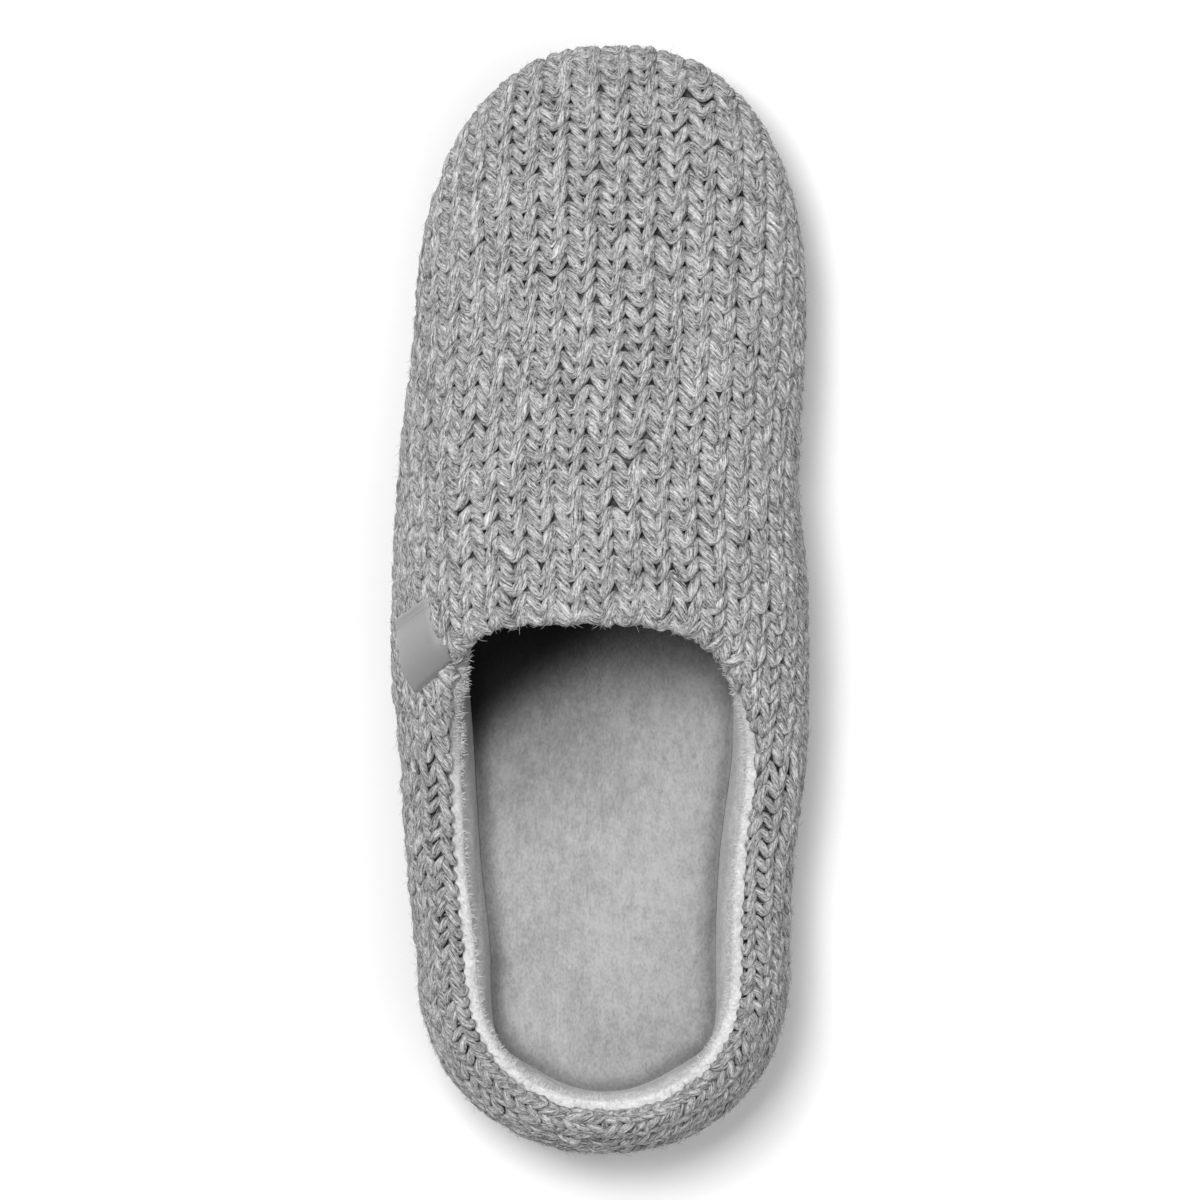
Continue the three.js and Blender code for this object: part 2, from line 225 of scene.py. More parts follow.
mouth_share = 1 - mouth_inset / (shoe_width / 2)

# Plan form. along is a share of the length from its middle, half_width and centre are shares of the width.
PLAN = [
    {"along": -0.5, "half_width": 0.449, "centre": 0.012},
    {"along": -0.333, "half_width": 0.449, "centre": 0.008},
    {"along": -0.24, "half_width": 0.466, "centre": 0},
    {"along": -0.14, "half_width": 0.49, "centre": 0.008},
    {"along": -0.05, "half_width": 0.5, "centre": 0},
    {"along": 0.02, "half_width": 0.496, "centre": 0},
    {"along": 0.105, "half_width": 0.481, "centre": -0.005},
    {"along": 0.19, "half_width": 0.474, "centre": 0.012},
    {"along": 0.25, "half_width": 0.468, "centre": 0.024},
    {"along": 0.5, "half_width": 0.462, "centre": 0.036},
]


def column(rows, name, share):
    """A smooth curve through one column of a table, flat at its first and last rows."""
    if share <= rows[0]["along"]:
        return rows[0][name]
    last = len(rows) - 1
    if share >= rows[last]["along"]:
        return rows[last][name]
    i = next(k for k, row in enumerate(rows) if row["along"] > share) - 1

    def slope(k):
        if k in (0, last):
            return 0
        return (rows[k + 1][name] - rows[k - 1][name]) / (rows[k + 1]["along"] - rows[k - 1]["along"])

    span = rows[i + 1]["along"] - rows[i]["along"]
    s = (share - rows[i]["along"]) / span
    rise = s * s * (3 - 2 * s)
    bend = s * (1 - s) * (1 - s) * slope(i) - s * s * (1 - s) * slope(i + 1)
    return rows[i][name] * (1 - rise) + rows[i + 1][name] * rise + span * bend


def smooth_step(low, high, value):
    s = min(1, max(0, (value - low) / (high - low)))
    return s * s * (3 - 2 * s)


def band_half_width(y):
    return shoe_width * column(PLAN, "half_width", y / shoe_length)


def centre_line(y):
    return shoe_width * column(PLAN, "centre", y / shoe_length)


def end_share(y):
    """How far y lies into the round toe or heel: 0 at its start and 1 at the end of the shoe."""
    toe_start = toe_round_start * shoe_length
    heel_start = heel_round_start * shoe_length
    if y > toe_start:
        return (y - toe_start) / (toe_end - toe_start)
    if y < heel_start:
        return (heel_start - y) / (heel_start - heel_end)
    return 0


def plan_squareness(y):
    return toe_squareness if y > 0 else heel_squareness


def sole_top(y):
    spring = toe_spring * max(0, (y - ball_line * shoe_length) / (toe_end - ball_line * shoe_length)) ** 2
    rise = smooth_step(ball_line, heel_breast, y / shoe_length)
    return spring + forefoot_thickness + (heel_thickness - forefoot_thickness) * rise


def tuck(y):
    """How far the foot of the wall lies inside the widest line."""
    return toe_tuck + (heel_tuck - toe_tuck) * smooth_step(ball_line, heel_breast, y / shoe_length)


def widest_height(y):
    return sole_top(y) + bulge_rise


def widest_point(turn):
    """The widest line. A turn of 0 is the inner side at the hinge, 0.25 the toe and 0.5 the outer side."""
    angle = 2 * pi * turn
    reach = abs(sin(angle))
    ahead = even_advance * reach + (1 - even_advance) * reach ** advance_power
    y = hinge_y - (hinge_y - heel_end) * reach
    if sin(angle) >= 0:
        y = hinge_y + (toe_end - hinge_y) * ahead
    power = plan_squareness(y)
    width = band_half_width(y) * max(0, 1 - end_share(y) ** power) ** (1 / power)
    return Vector((centre_line(y) + np.sign(cos(angle)) * width, y, widest_height(y)))


def mouth_point(turn):
    """The plan of the collar's edge."""
    angle = 2 * pi * turn
    aside = cos(angle)
    ahead = sin(angle)
    if ahead >= 0:
        power = outer_throat_squareness if aside < 0 else inner_throat_squareness
        radius = (abs(aside) ** power + ahead ** power) ** (-1 / power)
        x = centre_line(hinge_y) + mouth_share * band_half_width(hinge_y) * aside * radius
        return x, hinge_y + (throat_y - hinge_y) * ahead * radius
    outer = widest_point(turn)
    heel_start = heel_round_start * shoe_length
    y = heel_start + (outer.y - heel_start) * mouth_share if outer.y < heel_start else outer.y
    side = (outer.x - centre_line(outer.y)) / band_half_width(outer.y)
    return centre_line(y) + side * mouth_share * band_half_width(y), y


def plan_outward(turn):
    step = widest_point(turn + tiny) - widest_point(turn - tiny)
    return Vector((step.y, -step.x, 0)).normalized()


# The foot of the plush is pushed out into the corners of the heel: the turn, how far, and how wide
HEEL_CORNERS = [
    (0.648, 2.6, 0.030),
    (0.852, 2.6, 0.030),
    (0.75, 1.6, 0.045),
]


def pad_inset(y, turn=0):
    """How far the foot of the padded wall lies inside the widest line."""
    pushed = sum(reach * np.exp(-(((turn - at) / width) ** 2)) for at, reach, width in HEEL_CORNERS)
    return side_pad_inset + (heel_pad_inset - side_pad_inset) * (end_share(y) if y < 0 else 0) - pushed


def padding(turn):
    """How much of the padding a turn has: all of it behind the hinge and none at the throat."""
    return 1 - smooth_step(hinge_y + pad_fade_from, throat_y - pad_fade_to, mouth_point(turn)[1])


def footbed_edge(turn, inset):
    widest = widest_point(turn)
    thin = tuck(widest.y) + upper_wall
    wall = thin + (pad_inset(widest.y, turn % 1) - thin) * padding(turn)
    return widest - plan_outward(turn) * (wall + seat_gap + inset)


def waves(x, y, rows):
    """A sum of slow waves over the plan. A row holds its height, its two wave lengths and its phase."""
    total = 0
    for height, across, along, phase in rows:
        total += height * sin(2 * pi * (x / across + y / along) + phase)
    return total


# Pressed hollows and creases of the footbed: height, wave lengths across and along, and phase
FOOTBED_WAVES = [
    (0.30, 61, 83, 0.4),
    (0.22, -47, 58, 1.9),
    (0.13, 29, -41, 3.1),
    (0.07, 19, 23, 5.0),
]
footbed_steps_across = 44
footbed_steps_along = 150
footbed_roll = 7
footbed_roll_depth = 1.3
footbed_roll_power = 2.4
roll_insets = [5.2, 3.6, 2.2, 1.1, 0.4, 0, -0.5]
# Painted shade in the crevice: the footbed plush darkens over this inset towards its edge by the wall
painted_edge_shade_width = 5.0
painted_edge_shade_full = 0.4


def footbed_height(x, y, inset):
    rolled = (1 - max(0, inset) / footbed_roll) ** footbed_roll_power * footbed_roll_depth
    return sole_top(y) + seat_gap + footbed_thickness - rolled + waves(x, y, FOOTBED_WAVES)


bm = grid_of(footbed_steps_across, footbed_steps_along)
turn_of = bm.verts.layers.float.new("turn")
# The edge layer holds painted shade, full at the edge of the footbed
painted_shade_of = bm.verts.layers.float.new("edge")
for vert in bm.verts:
    across = vert.co.x + 0.5
    turn = vert.co.y / 2
    place = footbed_edge(turn, footbed_roll).lerp(footbed_edge(0.5 - turn, footbed_roll), across)
    place.z = footbed_height(place.x, place.y, footbed_roll)
    vert[turn_of] = turn if across < 0.5 else 0.5 - turn
    vert.co = place * MM
weld(bm)


def edge_drawn_out(inset, height_at):
    rim = [edge for edge in bm.edges if edge.is_boundary]
    drawn = bmesh.ops.extrude_edge_only(bm, edges=rim)["geom"]
    for vert in drawn:
        if isinstance(vert, bmesh.types.BMVert):
            place = footbed_edge(vert[turn_of], inset)
            place.z = height_at(place.x, place.y, inset)
            vert[painted_shade_of] = smooth_step(painted_edge_shade_width, painted_edge_shade_full, inset)
            vert.co = place * MM


for inset in roll_insets:
    edge_drawn_out(inset, footbed_height)
edge_drawn_out(0, lambda x, y, inset: sole_top(y) + seat_gap)
bmesh.ops.holes_fill(bm, edges=[edge for edge in bm.edges if edge.is_boundary])
bmesh.ops.recalc_face_normals(bm, faces=bm.faces)


# Painted shadow under the vamp: the plush is darker in the toe, and darkest at the outer corner of the
# throat.
# A row holds where the shade is full, the way it darkens, over how long a way, and its share.
PAINTED_TOE_SHADOWS = [
    {"at": Vector((-6.6, -10.0, 0)), "way": Vector((-0.449, 0.894, 0)), "reach": 50, "share": 0.65},
    {"at": Vector((-14.0, -11.0, 0)), "way": Vector((-0.62, 0.785, 0)), "reach": 17, "share": 0.92},
]


def darkened(tree, colour, mask, share):
    """The colour multiplied down by a share where the mask is 1."""
    darker = tree.nodes.new("ShaderNodeMix")
    darker.data_type = "RGBA"
    darker.blend_type = "MULTIPLY"
    set_inputs(darker, {"Factor": mask, "A": colour, "B": grey(1 - share)})
    return darker.outputs["Result"]


def painted_toe_shadow_mask(tree, shade):
    """A mask for painted shadow: 0 under the foot's opening and 1 in the toe."""
    place = tree.nodes.new("ShaderNodeTexCoord").outputs["Object"]
    off = vector_math(tree, "SUBTRACT", place, shade["at"] * MM)
    along = vector_math(tree, "DOT_PRODUCT", off.outputs[0], shade["way"])
    gap = along.outputs["Value"]
    start = -shade["reach"] * MM
    ramp = node_in(tree, "ShaderNodeMapRange", Value=gap, From_Min=start, From_Max=0)
    ramp.interpolation_type = "SMOOTHSTEP"
    return ramp.outputs[0]


def plush(name, stretch, dark, light, pile, painted_shadow_share):
    """Short-pile plush: fine nap, small tufts laid this way and that, and slow patches, with painted shadow
    in the toe and painted shade where its edge attribute is set.
    """
    material, tree, shader = new_material(
        name, Roughness=0.95, Sheen_Weight=0.3, Sheen_Roughness=0.45, Specular_IOR_Level=0.15
    )
    nap = grain_in(tree, scale=1300, stretch=stretch)
    tufts = grain_in(tree, scale=330, stretch=stretch)
    height = blended(tree, nap.outputs["Height"], tufts.outputs["Height"], share=0.45)
    mottle = blended(tree, height, nap.outputs["Patches"], share=0.25)
    colour = colour_between(tree, mottle, low=0.40, high=0.60, dark=dark, light=light)
    # Painted shadow: the colour is darkened in the toe and at the outer corner of the throat
    for shade in PAINTED_TOE_SHADOWS:
        colour = darkened(tree, colour, painted_toe_shadow_mask(tree, shade), shade["share"] * painted_shadow_share)
    # Painted shade in the crevices: darker where the edge attribute is set, at the rim of the footbed and the
    # foot of the lining wall
    edge = tree.nodes.new("ShaderNodeAttribute")
    edge.attribute_name = "edge"
    colour = darkened(tree, colour, edge.outputs["Fac"], share=0.35)
    covered(tree, shader, colour, height, distance=pile * MM)
    return material


footbed_plush = plush(
    "footbed_plush", stretch=(1.3, 0.7, 1), dark=grey(0.29), light=grey(0.45), pile=0.5, painted_shadow_share=1.0
)
footbed = shown("plush_footbed", finished(bm, "plush_footbed", radians(70)), footbed_plush)
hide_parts("insole")


# Lining
# Light grey plush sewn to the knit under the rim of the collar. It hangs as a soft padded wall down to the
# footbed at the heel and the sides, and follows the vamp in front. Its top edge is rolled and furry.
instep_height = 76
heel_collar_height = 56
quarter_collar_height = 48
toe_box_height = 61
toe_tip_height = 51
rim_wall = 6.5
rim_taper = 12
padded_swell = 1.2
crown_squareness = 2.2
tuck_angle = pi / 3


def crown_rise(share):
    return max(0, 1 - min(1, share) ** crown_squareness) ** (1 / crown_squareness)


def crown_over(collar_height, along):
    """The crown whose wall reaches a collar height where the mouth cuts it."""
    base = widest_height(along * shoe_length)
    return base + (collar_height - base) / crown_rise(mouth_share)


# Height of the crown over the floor from heel to toe
CROWN = [
    {"along": -0.5, "height": crown_over(heel_collar_height, -0.5)},
    {"along": -0.36, "height": crown_over(heel_collar_height, -0.36) * 0.97},
    {"along": -0.17, "height": crown_over(quarter_collar_height, -0.17)},
    {"along": -0.06, "height": instep_height * 0.93},
    {"along": 0, "height": instep_height},
    {"along": 0.08, "height": instep_height * 0.97},
    {"along": 0.25, "height": toe_box_height},
    {"along": 0.5, "height": toe_tip_height},
]


def crown_height(y):
    return column(CROWN, "height", y / shoe_length)


def plan_share(x, y):
    """1 on the widest line of the upper, 0 on its spine."""
    power = plan_squareness(y)
    side = abs(x - centre_line(y)) / band_half_width(y)
    return (end_share(y) ** power + side ** power) ** (1 / power)


def skin_height(x, y):
    base = widest_height(y)
    return base + (crown_height(y) - base) * crown_rise(plan_share(x, y))


def outer_skin(turn, level):
    """Level -1 is the foot of the wall on the sole, 0 the widest line and 1 the edge of the collar."""
    widest = widest_point(turn)
    if level < 0:
        angle = -level * tuck_angle
        drop = (bulge_rise - seat_gap) * sin(angle) / sin(tuck_angle)
        inward = tuck(widest.y) * (1 - cos(angle)) / (1 - cos(tuck_angle))
        foot = widest - plan_outward(turn) * inward
        foot.z = sole_top(foot.y) + bulge_rise - drop
        return foot
    mouth_x, mouth_y = mouth_point(turn)
    inwards = 1 - cos(level * pi / 2)
    x = widest.x + (mouth_x - widest.x) * inwards
    y = widest.y + (mouth_y - widest.y) * inwards
    return Vector((x, y, skin_height(x, y)))


def outward(turn, level):
    if level <= 0:
        return plan_outward(turn)
    along = outer_skin(turn + tiny, level) - outer_skin(turn - tiny, level)
    up = outer_skin(turn, min(1, level + tiny)) - outer_skin(turn, level - tiny)
    return along.cross(up).normalized()


def rim_point(turn, angle, proud):
    """The half-round rim: an angle of 0 is its outside and pi its inside. Proud is how far off its face."""
    out = outward(turn, 1)
    edge = (outer_skin(turn + tiny, 1) - outer_skin(turn - tiny, 1)).normalized()
    onward = out.cross(edge).normalized()
    centre = outer_skin(turn, 1) - out * (rim_wall / 2)
    if angle < 0:
        return centre + out * (rim_wall / 2 + proud) + onward * (angle * rim_wall / 2)
    reach = rim_wall / 2 + proud
    return centre + out * (cos(angle) * reach) + onward * (sin(angle) * reach)


def inner_face(turn, level):
    """It follows the skin in the vamp, and hangs straight from the rim at the heel and the sides."""
    skin = outer_skin(turn, level)
    near_rim = smooth_step(rim_taper, 0, (skin - outer_skin(turn, 1)).length)
    follows = skin - outward(turn, level) * (upper_wall + (rim_wall - upper_wall) * near_rim)
    down = (1 - level) / 2
    out = plan_outward(turn)
    widest = widest_point(turn)
    foot = widest - out * pad_inset(widest.y, turn % 1)
    foot.z = sole_top(foot.y) + seat_gap
    hangs = (outer_skin(turn, 1) - outward(turn, 1) * rim_wall).lerp(foot, down)
    hangs -= out * (padded_swell * sin(pi * down))
    return follows.lerp(hangs, padding(turn))


lining_steps_round = 300
lining_steps_down = 30
lining_roll_share = 0.18
side_seam_angle = radians(138)
heel_seam_angle = radians(164)
throat_seam_angle = radians(158)
lining_seam_sink = 0.9
lining_roll_height = 2.7
tab_seam_y = -20.5
tab_seam_reach = 4.5
tab_seam_pull = radians(42)
# Painted shade: the lining darkens between these shares of its way down to the footbed
lining_painted_shade_from = 0.5
lining_painted_shade_to = 0.72
plush_thickness = 1.1
fold_haste = 1.3

# Loose folds of the lining: how deep, how many round the collar, how far they slant, and the phase
LINING_FOLDS = [
    (0.30, 17, 0.6, 0.5),
    (0.20, 29, 1.1, 2.1),
    (0.12, 53, 1.7, 4.0),
]

# Puckers where the lining turns the corners of the heel: the turn, how deep, and how far they reach round
PUCKERS = [
    (0.655, 0.9, 0.010),
    (0.845, 1.1, 0.009),
    (0.872, 0.7, 0.007),
]


def seam_angle(turn):
    """Where the lining starts on the rim: on top of it at the sides, and out of sight under the vamp."""
    x, y = mouth_point(turn)
    pulled = tab_seam_pull * np.exp(-(((y - tab_seam_y) / tab_seam_reach) ** 2)) if x < 0 else 0
    behind = side_seam_angle + (heel_seam_angle - side_seam_angle) * (end_share(y) if y < 0 else 0)
    return behind + (throat_seam_angle - behind) * (1 - padding(turn)) - pulled


def lining_point(turn, down):
    """down runs from 0 at the seam on the rim to 1 at the sole."""
    if down < lining_roll_share:
        share = down / lining_roll_share
        start = seam_angle(turn)
        proud = lining_roll_height * sin(pi * share) - lining_seam_sink * (1 - share) ** 4
        return rim_point(turn, start + (pi - start) * share, proud)
    share = (down - lining_roll_share) / (1 - lining_roll_share)
    ripple = 0
    for depth, count, slant, phase in LINING_FOLDS:
        ripple += depth * sin(2 * pi * (count * turn + slant * share) + phase)
    for at, depth, reach in PUCKERS:
        ripple -= depth * np.exp(-(((turn % 1) - at) / reach) ** 2)
    ripple *= padding(turn) * sin(pi * min(1, share * fold_haste))
    return inner_face(turn, 1 - 2 * share) - plan_outward(turn) * ripple


bm = grid_of(lining_steps_round, lining_steps_down)
# The edge layer holds painted shade, darker towards the foot of the padded wall
painted_shade_of = bm.verts.layers.float.new("edge")
for vert in bm.verts:
    turn = vert.co.x + 0.5
    down = 0.5 - vert.co.y
    vert[painted_shade_of] = smooth_step(lining_painted_shade_from, lining_painted_shade_to, down) * padding(turn)
    vert.co = lining_point(turn, down) * MM
weld(bm)
bmesh.ops.reverse_faces(bm, faces=bm.faces)
bmesh.ops.solidify(bm, geom=bm.faces, thickness=plush_thickness * MM)
lining_plush = plush(
    "lining_plush", stretch=(1, 1, 0.6), dark=grey(0.52), light=grey(0.84), pile=0.7, painted_shadow_share=0.4
)
lining = shown("plush_lining", finished(bm, "plush_lining", radians(60)), lining_plush)
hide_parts("upper")


# Inner face of the knit
# The back of the same grey fabric, coloured near black as painted shade, so that it shows as dark gaps
# between the stitches.
# It lies under the courses, from the sole up over the rim to the seam of the lining.
ground_depth = 3.1
ground_steps_round = 240
ground_steps_up = 26
ground_thickness = 0.5
ground_tuck = 0.2
rim_share = 0.22
rim_depth_share = 0.8
near_rim_level = 0.7


def over_knit(turn, up, depth):
    """up runs from 0 at the sole to 1 at the seam of the lining. Depth is how far under the outer face."""
    if up > 1 - rim_share:
        angle = (up - 1 + rim_share) / rim_share * (seam_angle(turn) + ground_tuck)
        return rim_point(turn, angle, -depth * rim_depth_share)
    level = up / (1 - rim_share) * 2 - 1
    near_rim = smooth_step(near_rim_level, 1, level)
    return outer_skin(turn, level) - outward(turn, level) * (depth * (1 - (1 - rim_depth_share) * near_rim))


def sheet(steps_round, steps_up, point_at, closeness=weld_distance):
    """A sheet over two shares that run from 0 to 1, welded where its edges meet."""
    bm = grid_of(steps_round, steps_up)
    for vert in bm.verts:
        vert.co = point_at(vert.co.x + 0.5, vert.co.y + 0.5)
    weld(bm, closeness)
    return bm


bm = sheet(ground_steps_round, ground_steps_up, lambda turn, up: over_knit(turn, up, ground_depth) * MM)
bmesh.ops.solidify(bm, geom=bm.faces, thickness=ground_thickness * MM)
painted_shade_backing, tree, shader = new_material("knit_back_painted_shade", Roughness=1.0)
grain = grain_in(tree, scale=700)
height = grain.outputs["Height"]
# Painted shade: near black, though the back of the knit is the same grey yarn
colour = colour_between(tree, height, low=0.4, high=0.6, dark=grey(0.030), light=grey(0.11))
covered(tree, shader, colour, height, distance=0.4 * MM)
knit_back_painted_shade = shown("knit_back_painted_shade", finished(bm, "knit_back_painted_shade", radians(60)), painted_shade_backing)
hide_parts("upper")


# Knitted courses
# Bulky heather grey yarn, loosely spun, in plain knit whose columns run from toe to heel. Each course is one
# length of yarn that dips to a point in every column. The courses fan round the toe and the heel.
course_pitch = 4.45
quarter_pitch = 3.75
column_pitch = 7.6
yarn_radius = 1.40
yarn_sides = 8
samples_in_column = 14
course_swing = 0.66
quarter_swing = 0.78
point_depth = 1.2
top_dip = 1.3
quarter_thinness = 0.73
quarter_dip = 2.1
seam_strand_depth = 2.1
foot_strand_depth = 0.5
foot_strand_level = -0.9
foot_strand_wave = 0.35
foot_strand_waves = 90
toe_course_level = -0.6
toe_course_reach = 19
toe_course_depth = 1.0
toe_course_swing = 1.3
toe_course_thinness = 0.9
shortest_course = 8
seam_dive = 1.5
seam_dive_length = 2.5
collar_swing = 0.5
collar_slant = 4.0
collar_reach = 15
collar_fade = 26
course_tuck = 0.3
thin_until = 20
thick_from = 10
gauge_level = 0.6
section_rise = 10
section_sweep = radians(130)
toe_fan_y = 58
toe_fan_rise = 6
toe_fan_depth = 60
wrap_stop = 14
sunk_length = 4
sunk_depth = 1.8
ridge_ease = 3
wander_ease = 12
skin_steps_round = 420
skin_steps_up = 44
ray_count = 200
farthest = 150
ply_twist = 2 * pi / 21
yarn_end_share = 0.05
longest_lead = 400
rng = np.random.default_rng(7)

# Random changes from stitch to stitch, by what they change
KNOTS = {"swing": 0.15, "slip": 0.08, "depth": 0.24, "along": 0.13, "thick": 0.10}

# Slow drift of the columns: its height, its turn from course to course and along one, and its phase
DRIFTS = [
    (0.32, 0.41, 0.055, 1.0),
    (0.24, 0.17, -0.12, 2.2),
]


def ray_target(steps_up, point_at):
    bm = sheet(skin_steps_round, steps_up, point_at, tiny)
    target = BVHTree.FromBMesh(bm)
    bm.free()
    return target


skin_tree = ray_target(skin_steps_up, lambda turn, up: outer_skin(turn, up * 2 - 1))


def turn_at(side, y):
    """The turn at which the collar's edge has a place along the shoe, ahead of the hinge."""
    low, high = 0.0, 0.25
    for _ in range(40):
        middle = (low + high) / 2
        turn = middle if side > 0 else 0.5 - middle
        low, high = (middle, high) if mouth_point(turn)[1] < y else (low, middle)
    return low if side > 0 else 0.5 - low


def resampled(points, way, places):
    """Points at places along a way, and nothing outside it."""
    points = np.array(points, float)
    found = np.stack([np.interp(places, way, points[:, k]) for k in range(3)], axis=1)
    found[(places < way[0]) | (places > way[-1])] = np.nan
    return found


def way_along(points):
    points = np.array(points, float)
    return np.concatenate([[0], np.cumsum(np.linalg.norm(np.diff(points, axis=0), axis=1))])


def over_rim(turn):
    """A course over the rim, from under the edge of the lining to the outside."""
    return [rim_point(turn, angle, 0) for angle in np.linspace(seam_angle(turn) + course_tuck, 0, 12)]


def heel_section(turn):
    """A course behind the hinge, from inside the rim down to the sole, and the length over the rim."""
    rim_part = over_rim(turn)
    wall_part = [outer_skin(turn, level) for level in np.linspace(1, -1, 60)]
    return rim_part[:-1] + wall_part, way_along(rim_part)[-1]


def plane_section(side, y, slope_y, slope_z, base_y, base_z):
    """Where a plane across the shoe cuts the skin on one side, from the top down to the sole."""
    start = Vector((centre_line(y), base_y, base_z))
    up = Vector((0, slope_y, slope_z))
    points = []
    for angle in np.linspace(0, section_sweep, ray_count):
        ray = up * cos(angle) + Vector((side, 0, 0)) * sin(angle)
        hit = skin_tree.ray_cast(start, ray)[0]
        if hit is not None:
            points.append(hit)
        elif points:
            break
    return points


def upright_section(side, y):
    return plane_section(side, y, 0, 1, y, sole_top(y) + section_rise)


def ridge_stations():
    """Places of the courses ahead of the hinge: even along the shoe to the throat, then along the ridge."""
    stations = np.arange(hinge_y + course_pitch, throat_y + course_pitch / 2, course_pitch)
    steps = np.linspace(stations[-1], toe_end - 0.4, 900)
    ridge = [Vector((centre_line(y), y, skin_height(centre_line(y), y))) for y in steps]
    front = [outer_skin(0.25, level) for level in np.linspace(0, -0.9, 20)]
    way = way_along(ridge + front)
    places = np.arange(course_pitch, way[-1], course_pitch)
    return stations, resampled(ridge + front, way, places)[:, 1:]


def heel_courses(side):
    """The courses of one side from the centre-back seam to the hinge."""
    step = 1 / 4000
    turns = np.arange(0.5, 0.75 + step, step) if side < 0 else np.arange(1.0, 0.75 - step, -step)
    middle_line = way_along([outer_skin(turn, gauge_level) for turn in turns])
    count = round(middle_line[-1] / quarter_pitch)
    spacing = middle_line[-1] / count
    rows = []
    for k in range(count):
        turn = np.interp(middle_line[-1] - (k + 0.5) * spacing, middle_line, turns)
        points, rim_length = heel_section(turn)
        rows.append({"kind": "heel", "points": points, "rim": rim_length, "y": points[-1].y})
    return rows


def courses_of(side):
    """All the courses of one side as rows of points, from the heel seam to the toe."""
    rows = heel_courses(side)
    flat, fanned = ridge_stations()
    for y in flat:
        points = upright_section(side, y)
        kind = "side" if y < throat_y else "vamp"
        if y < throat_y - wrap_stop:
            rim_part = over_rim(turn_at(side, y))
            points = rim_part[:-1] + [p for p in points if p.z < rim_part[-1].z - 0.2]
        elif kind == "side":
            kind = "cut"
        rows.append({"kind": kind, "points": points, "y": y})
    for y, z in fanned:
        if y <= toe_fan_y:
            points = upright_section(side, y)
        else:
            lean = np.array([y - toe_fan_y, z + toe_fan_depth])
            lean /= np.linalg.norm(lean)
            base = lean * (sole_top(y) + toe_fan_rise + toe_fan_depth) / lean[1]
            points = plane_section(side, y, *lean, toe_fan_y + base[0], base[1] - toe_fan_depth)
        if points and way_along(points)[-1] > shortest_course:
            rows.append({"kind": "vamp", "points": points, "y": y})
    whole = way_along(next(row for row in rows if row["kind"] == "vamp")["points"])[-1]
    last_heel = [row for row in rows if row["kind"] == "heel"][-1]
    below_collar = way_along(last_heel["points"])[-1] - last_heel["rim"]
    for row in rows:
        way = way_along(row["points"])
        if row["kind"] == "heel":
            row["way"] = way - row["rim"] + whole - below_collar
        elif row["kind"] == "vamp":
            row["way"] = way
        else:
            row["way"] = way - way[-1] + whole
        y = row["y"]
        at_heel = row["kind"] == "heel"
        row["swing"], row["dip"] = (quarter_swing, quarter_dip) if at_heel else (course_swing, top_dip)
        row["slant"] = smooth_step(heel_end, heel_end + collar_fade, y)
        row["slant"] *= smooth_step(throat_y - wrap_stop, hinge_y - collar_fade / 2, y)
        thicker = smooth_step(hinge_y - thin_until, throat_y + thick_from, y)
        row["thin"] = quarter_thinness + (1 - quarter_thinness) * thicker
    return rows


def filled(values, other):
    return np.where(np.isnan(values), other, values)


def filled_difference(ahead, behind, here):
    """Half the way from the course behind to the one ahead, or to one of them where the other is missing."""
    full = (ahead - behind) / 2
    for other in (ahead - here, here - behind, 0):
        full = filled(full, other)
    return full


def knotted(way, part):
    """Small random changes from stitch to stitch, smooth along the yarn and none at the ridge."""
    knots = rng.normal(0, KNOTS[part], 2 * len(way) // samples_in_column + 4)
    at = np.arange(len(knots)) * column_pitch / 2 + way[0]
    return np.interp(way, at, knots) * np.clip(np.abs(way) / ridge_ease, 0, 1)


def wander(k, way):
    """Slow sideways drift of the columns from course to course, in millimetres."""
    drift = sum(height * np.sin(turn * k + bend * way + phase) for height, turn, bend, phase in DRIFTS)
    return drift * np.clip(np.abs(way) / wander_ease, 0, 1)


